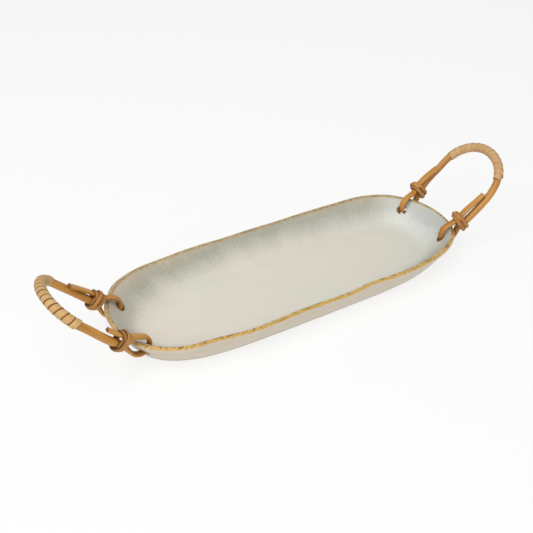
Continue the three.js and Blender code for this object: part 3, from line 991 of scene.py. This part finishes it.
@dataclass
class StripBender:
    """Geometry Nodes tree that bends a strip along a row of points, with its skin side outwards."""

    name: str = "wound strip"
    corner_steps: int = 3
    cuts: int = 3

    def tree(self) -> bpy.types.NodeTree:
        """Builds the tree, or gives the one that was built before.

        Returns:
            The tree, with the strip's sizes and material as named inputs.
        """
        if self.name in bpy.data.node_groups:
            return bpy.data.node_groups[self.name]
        tree = bpy.data.node_groups.new(self.name, "GeometryNodeTree")
        tree.interface.new_socket("Geometry", in_out="INPUT", socket_type="NodeSocketGeometry")
        for size in ("Width", "Thickness", "Corner", "Crown"):
            tree.interface.new_socket(size, in_out="INPUT", socket_type="NodeSocketFloat")
        tree.interface.new_socket("Material", in_out="INPUT", socket_type="NodeSocketMaterial")
        tree.interface.new_socket("Geometry", in_out="OUTPUT", socket_type="NodeSocketGeometry")
        add = partial(add_node, tree)
        given = add("NodeGroupInput").outputs
        path = add("GeometryNodeMeshToCurve", {"Mesh": given["Geometry"]})
        outwards = add("GeometryNodeInputNamedAttribute", {"Name": "outwards"}, data_type="FLOAT_VECTOR")
        faced = add("GeometryNodeSetCurveNormal", {"Curve": path, "Normal": outwards}, mode="FREE")
        length = add("GeometryNodeSplineParameter").outputs["Length"]
        along = add("GeometryNodeCaptureAttribute", {"Geometry": faced})
        along.capture_items.new("FLOAT", "Length")
        tree.links.new(length, along.inputs["Length"])

        # The section is a strip with round corners, and its skin side is crowned
        sizes = {"Width": given["Thickness"], "Height": given["Width"]}
        section = add("GeometryNodeCurvePrimitiveQuadrilateral", sizes)
        corners = {"Curve": section, "Count": self.corner_steps, "Radius": given["Corner"]}
        eased = add("GeometryNodeFilletCurve", corners, mode="POLY")
        finer = add("GeometryNodeSubdivideCurve", {"Curve": eased, "Cuts": self.cuts})
        spot = add("ShaderNodeSeparateXYZ", (add("GeometryNodeInputPosition"),)).outputs
        span = add("ShaderNodeMath", (spot["Y"], given["Width"]), operation="DIVIDE")
        doubled = add("ShaderNodeMath", (span, 2.0), operation="MULTIPLY")
        near_edge = add("ShaderNodeMath", (doubled,), operation="ABSOLUTE")
        around = add("GeometryNodeCaptureAttribute", {"Geometry": finer})
        for item, value in (("Length", length), ("Edge", near_edge.outputs[0])):
            around.capture_items.new("FLOAT", item)
            tree.links.new(value, around.inputs[item])
        square = add("ShaderNodeMath", (span, span), operation="MULTIPLY")
        fall = add("ShaderNodeMath", (square, -4.0, 1.0), operation="MULTIPLY_ADD")
        lift = add("ShaderNodeMath", (fall, given["Crown"]), operation="MULTIPLY")
        outer = add("ShaderNodeMath", (spot["X"], 0.0), operation="GREATER_THAN")
        rise = add("ShaderNodeMath", (lift, outer), operation="MULTIPLY")
        shift = add("ShaderNodeCombineXYZ", {"X": rise})
        crowned = add("GeometryNodeSetPosition", {"Geometry": around, "Offset": shift})

        # Each spot keeps its millimetres along and round the strip, and how near it is to an edge
        rails = {"Curve": along, "Profile Curve": crowned, "Fill Caps": True}
        swept = add("GeometryNodeCurveToMesh", rails)
        long_mm = add("ShaderNodeMath", (along.outputs["Length"], 1 / MM), operation="MULTIPLY")
        round_mm = add("ShaderNodeMath", (around.outputs["Length"], 1 / MM), operation="MULTIPLY")
        marked = add("ShaderNodeCombineXYZ", (long_mm, round_mm, around.outputs["Edge"]))
        stored = add(
            "GeometryNodeStoreNamedAttribute", {"Geometry": swept, "Name": "strip", "Value": marked},
            data_type="FLOAT_VECTOR", domain="POINT",
        )
        smooth = add("GeometryNodeSetShadeSmooth", {"Geometry": stored})
        real = add("GeometryNodeRealizeInstances", {"Geometry": smooth})
        coated = add("GeometryNodeSetMaterial", {"Geometry": real, "Material": given["Material"]})
        add("NodeGroupOutput", {"Geometry": coated})
        return tree

    def bend(
        self, name: str, path: Sequence[tuple[Vector, Vector]], sizes: dict[str, float], finish: Finish
    ) -> bpy.types.Object:
        """Bends a strip along a row of points and leaves a plain mesh.

        Args:
            name: name of the piece.
            path: the strip's points and outward directions in metres.
            sizes: the tree's size inputs in millimetres.
            finish: what the strip is made of.

        Returns:
            The piece, without its modifier.
        """
        rail = bpy.data.meshes.new(name)
        rail.from_pydata([point for point, _ in path], list(pairwise(range(len(path)))), [])
        outwards = rail.attributes.new("outwards", "FLOAT_VECTOR", "POINT")
        outwards.data.foreach_set("vector", [value for _, out in path for value in out])
        piece = new_piece(name, rail)
        modifier = piece.modifiers.new(self.name, "NODES")
        modifier.node_group = self.tree()
        items = modifier.node_group.interface.items_tree
        sockets = {item.name: item.identifier for item in items if item.in_out == "INPUT"}
        for size, value in sizes.items():
            modifier[sockets[size]] = value * MM
        modifier[sockets["Material"]] = finish.material()
        shown = piece.evaluated_get(bpy.context.evaluated_depsgraph_get())
        made = bpy.data.meshes.new_from_object(shown)
        piece.modifiers.remove(modifier)
        piece.data = made
        made.name = name
        bpy.data.meshes.remove(rail)
        return piece


class End(Enum):
    """The two ends of the dish."""

    LEFT = "left"
    RIGHT = "right"


@dataclass(frozen=True)
class Leg:
    """One leg of a handle: its knot's place, its folded tail, and how its shaft stands out."""

    name: str
    side: int
    knot_x: float
    knot_y: float
    tail: float
    knot_gap: float
    tail_gap: float
    tail_shift: float
    tail_bow: float = 0.0
    tail_tip: float = 1.0
    jag: float = 0.0
    bulge: float = 0.0


@dataclass(frozen=True)
class Strand:
    """One pass of a knot down its open side: places along the leg and layers, at top, middle and bottom."""

    along: tuple[float, float, float]
    layers: tuple[float, float, float]


# Knots whose strands bow apart, and knots whose strands cross
BOWED = (
    Strand((1.6, 0.0, 0.2), (0.0, 0.0, 0.0)),
    Strand((-0.4, -2.8, -1.7), (1.05, 0.95, 1.0)),
    Strand((3.9, 2.8, 1.9), (1.1, 0.95, 1.0)),
    Strand((1.7, 0.5, 0.2), (2.0, 1.1, 1.0)),
)
CROSSED = (
    Strand((1.0, 2.6, 0.4), (0.0, 0.0, 0.0)),
    Strand((4.9, 0.4, -3.6), (0.1, 1.0, 0.2)),
    Strand((-0.2, 0.6, 3.0), (1.3, 2.0, 0.8)),
    Strand((-4.3, -5.1, 0.2), (0.4, 0.3, 1.6)),
)


@dataclass
class Station:
    """One place along a cane with its half width and half thickness."""

    point: Vector
    wide: float
    thick: float

    def mixed(self, other: Station, share: float) -> Station:
        """Station at a share of the way to another."""
        wide = lerp(self.wide, other.wide, share)
        return Station(self.point.lerp(other.point, share), wide, lerp(self.thick, other.thick, share))


@dataclass
class Handle:
    """A swinging handle: one bent cane, the peel wound round its bend and the knots that bind its two tails.

    Its own frame has its origin on the hinge line, X out along the shaft and Z square to the handle's plane.
    """

    # Slope of its shaft, how far it reaches from the hinge line, and the start, width and lean of its bend
    end: End
    rise: float
    reach: float
    bend_start: float
    bend_width: float
    bend_skew: float
    near: Leg
    far: Leg
    # Peel: its turns, its shift along the bend, its width, how uneven its turns are and how their pitch
    # changes, how far its last end lifts, and its tilt
    peel: CaneStrip
    wrap_turns: float
    wrap_shift: float
    wrap_strip: float
    wrap_wander: float
    wrap_drift: float
    wrap_flap: float
    wrap_tilt: float
    # Knots: their strands, the turn at which they end, and the width, thickness and crown of their strip
    strands: tuple[Strand, ...]
    knot_end: float
    knot_strip: float
    knot_thickness: float
    knot_crown: float

    # Hinge line and holes, the tongue's loop round the rim, and the cane with its slight swells
    hinge_x: float = 173.39
    hinge_z: float = 24.03
    hole_spacing: float = 64.0
    loop_radius: float = 9.21
    shaft_drop: float = 4.4
    cane_radius: float = 3.8
    cane_swell: float = 0.02
    swell_wave: float = 22.0
    # Where a leg's bulge eases in and out, how much a tail's bow lifts it, and where the bow is full
    bulge_ease: float = 2.0
    bulge_fade: float = 8.0
    bow_lift: float = 0.25
    bow_full: tuple[float, float] = (0.6, 0.75)

    # Tongue: its half width and half thickness, how much thicker and how square its skin side is, and the
    # share of the cut end's brown on its split side, partly the split face's own tone and partly painted
    # shade of the tongue's underside
    tongue_wide: float = 3.4
    tongue_thick: float = 1.6
    tongue_skin: float = 0.6
    tongue_power: float = 3.2
    split_shade: float = 0.5
    # Cut end: its flat's share of the tongue, how far its bevel and middle stand out, the share of a jag
    # that lifts its middle, and how brown its edge is
    cut_share: float = 0.9
    cut_bevel: float = 0.3
    cut_middle: float = 0.2
    cut_tear: float = 0.3
    cut_tone: float = 0.7

    # Knots: length along the leg, half height of the fold over the tongue, turns that lead in, how far the
    # ends stand off and over how many turns, and the strip's corners and clearance
    knot_length: float = 10.0
    knot_fold: float = 2.3
    knot_lead: float = 0.3
    knot_flare: float = 0.5
    flare_turns: float = 0.1
    knot_corner: float = 0.45
    knot_clearance: float = 0.2

    # Peel: its pitch, thickness, corners and crown, its clearance and slack, and how deep and over how many
    # turns its first end is tucked in
    wrap_pitch: float = 6.2
    wrap_thickness: float = 0.8
    wrap_corner: float = 0.3
    wrap_crown: float = 0.12
    wrap_clearance: float = 0.15
    wrap_slack: float = 0.06
    wrap_tuck: float = 0.7
    tuck_turns: float = 0.14

    # Fineness of the meshes, and the share of the middle line that each leg takes
    leg_share: float = 0.2
    tail_steps: int = 24
    loop_steps: int = 48
    bend_steps: int = 160
    ring_step: float = 0.9
    ease_rounds: int = 5
    ring_sides: int = 28
    wrap_marks: int = 960
    winding_steps: int = 32
    outline_steps: int = 180

    def to_world(self) -> Matrix:
        """Places the handle's own frame in the dish's.

        Returns:
            The matrix, in millimetres.
        """
        turn = math.pi if self.end is End.LEFT else 0.0
        hung = Matrix.Translation((self.hinge_x, 0, self.hinge_z)) @ Matrix.Rotation(-self.rise, 4, "Y")
        return Matrix.Rotation(turn, 4, "Z") @ hung

    def knot_far(self, leg: Leg) -> float:
        """Distance of a knot's far end from the hinge line."""
        return leg.knot_x + self.knot_length / 2

    def leg_offset(self, leg: Leg, x: float) -> float:
        """Measures a leg's distance from the handle's middle, straight at first and eased into the bend.

        Args:
            leg: which leg.
            x: distance from the hinge line.

        Returns:
            The distance.
        """
        first = self.hole_spacing / 2
        lean = (leg.knot_y - first) / leg.knot_x
        knot_far = self.knot_far(leg)
        if x <= knot_far:
            return first + lean * max(x, 0)
        run = self.bend_start - knot_far
        share = (x - knot_far) / run
        start = first + lean * knot_far
        eased = start + lean * run * share * (1 - share) ** 2
        return eased + (self.bend_width / 2 - start) * smoothstep(share, 0, 1)

    def bulge_at(self, leg: Leg, x: float) -> float:
        """Distance by which a leg's shaft stands out further between its knot and the bend."""
        out = leg.bulge * smoothstep(x, leg.knot_x, self.knot_far(leg) + self.bulge_ease)
        return out * smoothstep(x, self.bend_start + self.bulge_fade, self.bend_start - self.bulge_fade)

    def tongue_rise(self, gap: float) -> float:
        """Height of a folded tongue's middle line at a gap above its shaft."""
        return self.cane_radius + self.tongue_thick + gap - self.shaft_drop

    def leg_stations(self, leg: Leg) -> list[Station]:
        """Lays out one leg from the tail's cut end, round the rim strip, to the shaft at the knot.

        Args:
            leg: which leg.

        Returns:
            Its stations.
        """
        stations: list[Station] = []

        def add(x: float, z: float, grown: float, shift: float = 0.0, narrow: float = 1.0) -> None:
            """Adds a station.

            Args:
                x: distance from the hinge line.
                z: height over it.
                grown: share of the way from tongue to full cane.
                shift: distance towards the handle's middle.
                narrow: share of the tongue's width.
            """
            place = Vector((x, leg.side * (self.leg_offset(leg, x) - shift), z))
            wide = lerp(self.tongue_wide * narrow, self.cane_radius, grown)
            stations.append(Station(place, wide, lerp(self.tongue_thick, self.cane_radius, grown)))

        pinch = leg.knot_x - self.knot_length / 2
        end_rise = self.tongue_rise(leg.tail_gap)
        rise = self.tongue_rise(leg.knot_gap)
        for i in range(self.tail_steps):
            share = i / self.tail_steps
            x = lerp(leg.knot_x + leg.tail, self.knot_far(leg), share)
            full_from, full_to = self.bow_full
            bow = leg.tail_bow * smoothstep(share, 1, full_to) * smoothstep(share, 0, full_from)
            shift = leg.tail_shift * (1 - share) + bow
            z = lerp(end_rise, rise, share) + self.bow_lift * bow
            add(x, z, 0, shift, lerp(leg.tail_tip, 1, share))
        for x in (self.knot_far(leg), leg.knot_x, pinch):
            add(x, rise, 0)
        far_up = math.hypot(pinch, rise)
        far_down = math.hypot(pinch, self.shaft_drop)
        first = math.atan2(rise, pinch) + math.acos(self.loop_radius / far_up)
        last = 2 * math.pi - math.atan2(self.shaft_drop, pinch) - math.acos(self.loop_radius / far_down)
        for i in range(self.loop_steps + 1):
            angle = lerp(first, last, i / self.loop_steps)
            add(self.loop_radius * math.cos(angle), self.loop_radius * math.sin(angle), 0)
        add(pinch, -self.shaft_drop, 0.5)
        add(leg.knot_x, -self.shaft_drop, 1)
        return stations

    def bend_point(self, share: float) -> Vector:
        """Finds a point of the middle line: two legs, and half an ellipse that leans to one of them.

        Args:
            share: share of the way from the near leg's knot to the far one's.

        Returns:
            The point.
        """
        leg = self.near if share < 0.5 else self.far
        from_end = min(share, 1 - share) / self.leg_share
        if from_end < 1:
            x = lerp(self.knot_far(leg), self.bend_start, from_end)
            offset = self.leg_offset(leg, x) + self.bulge_at(leg, x)
            return Vector((x, leg.side * offset, -self.shaft_drop))
        angle = math.pi * (share - self.leg_share) / (1 - 2 * self.leg_share)
        lean = 1 - self.bend_skew * math.cos(angle)
        x = self.bend_start + (self.reach - self.bend_start) * math.sin(angle) * lean
        y = leg.side * self.bulge_at(leg, x) - self.bend_width / 2 * math.cos(angle)
        return Vector((x, y, -self.shaft_drop))

    def cane_stations(self) -> list[Station]:
        """Lays out the whole cane at even steps, with its corners eased.

        Returns:
            The stations from one cut end to the other.
        """
        marks = self.leg_stations(self.near)
        for i in range(self.bend_steps + 1):
            marks.append(Station(self.bend_point(i / self.bend_steps), self.cane_radius, self.cane_radius))
        marks += self.leg_stations(self.far)[::-1]
        spaced = [marks[0]]
        left = self.ring_step
        for before, after in pairwise(marks):
            span = (after.point - before.point).length
            done = 0.0
            while span - done >= left:
                done += left
                spaced.append(before.mixed(after, done / span))
                left = self.ring_step
            left -= span - done
        for _ in range(self.ease_rounds):
            eased = [b.mixed(a.mixed(c, 0.5), 0.5) for a, b, c in zip(spaced, spaced[1:], spaced[2:])]
            spaced = [spaced[0], *eased, spaced[-1]]
        return spaced

    def build_cane(self) -> bpy.types.Object:
        """Makes the bent cane.

        Returns:
            The cane, with its place in its mesh.
        """
        stations = self.cane_stations()
        world = self.to_world()
        bm = bmesh.new()
        grain = bm.verts.layers.float_vector.new("grain")
        cut = bm.verts.layers.float.new("cut")
        side = Vector((0, 1, 0))
        rings: list[list[Any]] = []
        directions = []
        for i, station in enumerate(stations):
            before = stations[max(i - 1, 0)].point
            after = stations[min(i + 1, len(stations) - 1)].point
            along = (after - before).normalized()
            directions.append(along)
            side = (side - side.dot(along) * along).normalized()
            up = along.cross(side)
            length = i * self.ring_step
            grown = (station.thick - self.tongue_thick) / (self.cane_radius - self.tongue_thick)
            skin_side = up.dot(Vector((station.point.x, 0, station.point.z)))
            wave = noise.noise(Vector((length / self.swell_wave, 0.3, self.rise)))
            swell = 1 + self.cane_swell * grown * wave
            ring = []
            for j in range(self.ring_sides):
                angle = 2 * math.pi * j / self.ring_sides
                split = math.sin(angle) * skin_side < -1e-6
                power = lerp(2.0 if split else self.tongue_power, 2.0, grown)
                across = swell * station.wide * flatten(math.cos(angle), power)
                thick = station.thick + (0 if split else self.tongue_skin * (1 - grown))
                height = swell * thick * flatten(math.sin(angle), power)
                vert = bm.verts.new(world @ (station.point + across * side + height * up) * MM)
                vert[grain] = (across, height, length)
                # The split side is browned: partly the split face's own tone, partly painted shade of the
                # tongue's underside
                vert[cut] = self.split_shade * (1 - grown) if split else 0.0
                ring.append(vert)
            rings.append(ring)
        for lower, upper in pairwise(rings):
            bridge(bm, lower, upper)

        # Each cut end is torn by its leg's jag, bevelled and closed
        inverse = world.inverted()
        ends = (
            (rings[0], stations[0], -directions[0], self.near),
            (rings[-1], stations[-1], directions[-1], self.far),
        )
        for ring, station, outwards, leg in ends:
            middle = station.point
            cap = []
            for j, vert in enumerate(ring):
                place = inverse @ (vert.co / MM)
                torn = leg.jag * (0.5 + noise.noise(Vector((j * 0.9, 4.2, 0.7))))
                inner = middle + (place - middle) * self.cut_share + (self.cut_bevel + torn) * outwards
                new = bm.verts.new(world @ inner * MM)
                new[grain] = vert[grain]
                new[cut] = self.cut_tone
                cap.append(new)
                vert.co = world @ (place + torn * outwards) * MM
            raised = self.cut_middle + self.cut_tear * leg.jag
            centre = bm.verts.new(world @ (middle + raised * outwards) * MM)
            centre[cut] = 1.0
            bridge(bm, ring, cap)
            for a, b in pairwise([*cap, cap[0]]):
                bm.faces.new((a, b, centre))
        return finished(bm, f"{self.end.value}_cane", CANE)

    def wrap_path(self) -> list[tuple[Vector, Vector]]:
        """Winds a helix round the bend.

        Returns:
            Points and outward directions in metres.
        """
        marks = [self.bend_point(i / self.wrap_marks) for i in range(self.wrap_marks + 1)]
        lengths = lengths_along(marks)
        world = self.to_world()
        turned = world.to_3x3()
        up = Vector((0, 0, 1))
        radius = self.cane_radius + self.wrap_clearance + self.wrap_thickness / 2
        path = []
        for i in range(round(self.wrap_turns * self.winding_steps) + 1):
            turn = i / self.winding_steps
            half_way = turn / self.wrap_turns - 0.5
            slip = self.wrap_wander * noise.noise(Vector((turn * 0.7, 8.6, self.rise)))
            slip += self.wrap_drift * self.wrap_turns * (half_way**2 - 0.25)
            distance = lengths[-1] / 2 + self.wrap_shift + self.wrap_pitch * self.wrap_turns * half_way + slip
            mark, share = spot_at(lengths, distance)
            tangent = (marks[mark + 1] - marks[mark]).normalized()
            angle = 2 * math.pi * turn
            radial = math.cos(angle) * tangent.cross(up) + math.sin(angle) * up
            tuck = self.wrap_tuck * smoothstep(turn, self.tuck_turns, 0.0)
            tuck -= self.wrap_flap * smoothstep(turn, self.wrap_turns - self.tuck_turns, self.wrap_turns)
            slack = self.wrap_slack * noise.noise(Vector((turn * 0.9, 0.6, self.rise)))
            point = marks[mark].lerp(marks[mark + 1], share) + (radius - tuck + slack) * radial
            outwards = math.cos(self.wrap_tilt) * radial + math.sin(self.wrap_tilt) * tangent
            path.append((world @ point * MM, turned @ outwards))
        return path

    def knot_span(self, leg: Leg) -> tuple[float, float]:
        """Heights of a knot's middle and of its tongue's top."""
        top = self.tongue_rise(leg.knot_gap) + self.tongue_thick + self.tongue_skin
        return (top - self.shaft_drop - self.cane_radius) / 2, top

    def knot_outline(self, leg: Leg) -> list[tuple[float, Vector, Vector]]:
        """Draws the taut line round a leg's shaft and tongue, in the knot's own frame with X along the leg.

        Args:
            leg: the leg that the knot binds.

        Returns:
            Length so far, point and outward direction, from the line's top down its open side and round.
        """
        middle, top = self.knot_span(leg)
        open_side = 1 if self.end is End.LEFT else -1
        line: list[tuple[float, Vector, Vector]] = []
        for i in range(self.outline_steps + 1):
            turn = 2 * math.pi * i / self.outline_steps
            out = Vector((0, open_side * math.sin(turn), math.cos(turn)))
            round_shaft = Vector((0, 0, -self.shaft_drop - middle)) + self.cane_radius * out
            fold = Vector((0, self.tongue_wide**2 * out.y, self.knot_fold**2 * out.z))
            fold /= math.hypot(self.tongue_wide * out.y, self.knot_fold * out.z)
            round_tongue = Vector((0, 0, top - self.knot_fold - middle)) + fold
            point = max(round_shaft, round_tongue, key=out.dot)
            length = 0.0
            if line:
                bend = 2 * self.knot_thickness * 2 * math.pi / self.outline_steps
                length = line[-1][0] + (point - line[-1][1]).length + bend
            line.append((length, point, out))
        return line

    def knot_place(self, turn: float) -> tuple[float, float]:
        """Finds where a knot's strip lies after some turns.

        Args:
            turn: turns since its first pass began.

        Returns:
            Its place along the leg, and its layer.
        """
        number = min(max(math.floor(turn), 0), len(self.strands) - 1)
        strand = self.strands[number]
        share = 2 * (turn - number)
        if share <= 1:
            return through(strand.along, max(share, 0)), through(strand.layers, max(share, 0))
        after = self.strands[min(number + 1, len(self.strands) - 1)]
        along = lerp(strand.along[2], after.along[0], smoothstep(share, 1, 2))
        return along, lerp(strand.layers[2], after.layers[0], smoothstep(share, 1, 2))

    def knot_path(self, leg: Leg) -> list[tuple[Vector, Vector]]:
        """Winds the knot of one leg: one pass after another down its open side and up behind.

        Args:
            leg: which leg.

        Returns:
            Points and outward directions in metres.
        """
        line = self.knot_outline(leg)
        lengths = [length for length, _, _ in line]
        middle, _ = self.knot_span(leg)
        lean = leg.side * math.atan2(leg.knot_y - self.hole_spacing / 2, leg.knot_x)
        place = Matrix.Translation((leg.knot_x, leg.side * leg.knot_y, middle))
        world = self.to_world() @ place @ Matrix.Rotation(lean, 4, "Z")
        turned = world.to_3x3()
        steps = round((self.knot_lead + self.knot_end) * self.winding_steps)
        path = []
        for i in range(steps + 1):
            turn = lerp(-self.knot_lead, self.knot_end, i / steps)
            mark, share = spot_at(lengths, turn % 1 * lengths[-1])
            (_, point, out), (_, next_point, next_out) = line[mark : mark + 2]
            point = point.lerp(next_point, share)
            out = out.lerp(next_out, share).normalized()
            along, layer = self.knot_place(turn)
            flare = smoothstep(turn, self.flare_turns - self.knot_lead, -self.knot_lead)
            flare += smoothstep(turn, self.knot_end - self.flare_turns, self.knot_end)
            off = self.knot_clearance + self.knot_thickness * (0.5 + layer) + self.knot_flare * flare
            point = point + off * out + Vector((along, 0, 0))
            path.append((world @ point * MM, turned @ out))
        return path

    def dress(self, bender: StripBender) -> None:
        """Builds the handle's pieces and hands them to the frame.

        Args:
            bender: what bends the strips.
        """
        end = self.end.value
        hand_over(self.build_cane(), f"{end}_handle", f"{end}_handle_cane")
        peel_sizes = {
            "Width": self.wrap_strip, "Thickness": self.wrap_thickness,
            "Corner": self.wrap_corner, "Crown": self.wrap_crown,
        }
        wrap = bender.bend(f"{end}_peel_wrap", self.wrap_path(), peel_sizes, self.peel)
        hand_over(wrap, f"{end}_handle", f"{end}_grip_wrap")
        knot_sizes = {
            "Width": self.knot_strip, "Thickness": self.knot_thickness,
            "Corner": self.knot_corner, "Crown": self.knot_crown,
        }
        for leg in (self.near, self.far):
            knot = bender.bend(f"{end}_{leg.name}_binding", self.knot_path(leg), knot_sizes, SPLIT_CANE)
            hand_over(knot, f"{end}_handle", f"{end}_{leg.name}_knot")


@dataclass(frozen=True)
class Softbox:
    """A soft light: its name, its width and height in metres, its watts and its place in millimetres."""

    name: str
    width: float
    height: float
    watts: float
    place: tuple[float, float, float]

    def hang(self) -> None:
        """Hangs the light at its place, turned to the dish."""
        light = bpy.data.lights.new(self.name, "AREA")
        light.shape = "RECTANGLE"
        light.size = self.width
        light.size_y = self.height
        light.energy = self.watts
        holder = bpy.data.objects.new(self.name, light)
        holder.location = Vector(self.place) * MM
        holder.rotation_euler = (-Vector(self.place)).to_track_quat("-Z", "Y").to_euler()
        bpy.context.scene.collection.objects.link(holder)


@dataclass
class Studio:
    """White paper floor, soft light and the camera of the photograph."""

    azimuth: float = math.radians(-31.14)
    elevation: float = math.radians(35.18)
    distance: float = 900.0
    target: tuple[float, float, float] = (-0.8, 41.5, 0.0)
    focal_pixels: float = 881.0
    frame_pixels: float = 533.0
    sensor: float = 36.0
    clip: tuple[float, float] = (0.05, 50.0)
    floor_half: float = 4000.0
    sky_light: float = 0.4
    softboxes: tuple[Softbox, ...] = (
        Softbox("softbox", 1.4, 1.0, 19.0, (-700, -350, 1500)),
        Softbox("front softbox", 2.0, 0.8, 6.0, (-300, -1600, 450)),
    )

    def build(self) -> None:
        """Makes the floor, the lights and the camera."""
        half = self.floor_half * MM
        corners = [(-half, -half, 0), (half, -half, 0), (half, half, 0), (-half, half, 0)]
        mesh = bpy.data.meshes.new("paper floor")
        mesh.from_pydata(corners, [], [(0, 1, 2, 3)])
        mesh.materials.append(PAPER.material())
        floor = new_piece("paper_floor", mesh)
        self.surround()
        for softbox in self.softboxes:
            softbox.hang()
        self.set_camera()
        bpy.context.scene.view_settings.view_transform = "Standard"

    def surround(self) -> None:
        """Makes the surroundings, which light the dish softly and look white themselves."""
        world = bpy.data.worlds.new("soft studio")
        world.use_nodes = True
        sky = world.node_tree.nodes["Background"]
        sky.inputs["Color"].default_value = (1, 1, 1, 1)
        add = partial(add_node, world.node_tree)
        strength = add("ShaderNodeMapRange", (seen_itself(add), 0.0, 1.0, self.sky_light, 1.0))
        world.node_tree.links.new(strength.outputs[0], sky.inputs["Strength"])
        bpy.context.scene.world = world

    def set_camera(self) -> None:
        """Sets the camera to the photograph's view."""
        camera = bpy.data.cameras.new("photograph")
        camera.sensor_width = self.sensor
        camera.lens = self.focal_pixels / self.frame_pixels * self.sensor
        camera.clip_start, camera.clip_end = self.clip
        holder = bpy.data.objects.new("photograph", camera)
        flat = math.cos(self.elevation)
        x = math.sin(self.azimuth) * flat
        y = -math.cos(self.azimuth) * flat
        back = Vector((x, y, math.sin(self.elevation)))
        holder.location = (Vector(self.target) + self.distance * back) * MM
        holder.rotation_euler = (-back).to_track_quat("-Z", "Y").to_euler()
        bpy.context.scene.collection.objects.link(holder)
        bpy.context.scene.camera = holder


def main() -> None:
    """Builds the platter piece by piece, then the studio round it."""
    logging.basicConfig(level=logging.INFO, format="%(name)s %(message)s")
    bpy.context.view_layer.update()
    Dish().dress()
    bender = StripBender()
    right = Handle(
        End.RIGHT, rise=math.radians(41.1), reach=94.4, bend_start=58.2, bend_width=74.0, bend_skew=0.06,
        near=Leg(
            "front", -1, knot_x=15.7, knot_y=34.1, tail=36.0, knot_gap=4.6, tail_gap=1.4, tail_shift=0.15,
            tail_bow=0.65, tail_tip=0.8, bulge=1.3,
        ),
        far=Leg("back", 1, knot_x=18.2, knot_y=36.2, tail=31.0, knot_gap=1.8, tail_gap=-0.1, tail_shift=3.0),
        peel=PEEL, wrap_turns=14.0, wrap_shift=4.5, wrap_strip=6.8, wrap_wander=0.15, wrap_drift=0.0,
        wrap_flap=0.9, wrap_tilt=math.radians(3),
        strands=BOWED, knot_end=3.1, knot_strip=3.8, knot_thickness=1.6, knot_crown=0.7,
    )
    left = Handle(
        End.LEFT, rise=math.radians(45.5), reach=90.2, bend_start=65.2, bend_width=71.5, bend_skew=0.12,
        near=Leg(
            "back", -1, knot_x=16.7, knot_y=34.7, tail=33.0, knot_gap=1.6, tail_gap=-0.5, tail_shift=4.0
        ),
        far=Leg(
            "front", 1, knot_x=25.4, knot_y=37.6, tail=19.0, knot_gap=2.55, tail_gap=2.1, tail_shift=0.0,
            jag=1.6,
        ),
        peel=YELLOW_PEEL, wrap_turns=14.5, wrap_shift=3.0, wrap_strip=5.75, wrap_wander=0.45, wrap_drift=0.06,
        wrap_flap=-0.7, wrap_tilt=math.radians(-3),
        strands=CROSSED, knot_end=3.56, knot_strip=4.0, knot_thickness=1.3, knot_crown=0.3,
    )
    for handle in (right, left):
        handle.dress(bender)
    Studio().build()


if __name__ == "__main__":
    main()
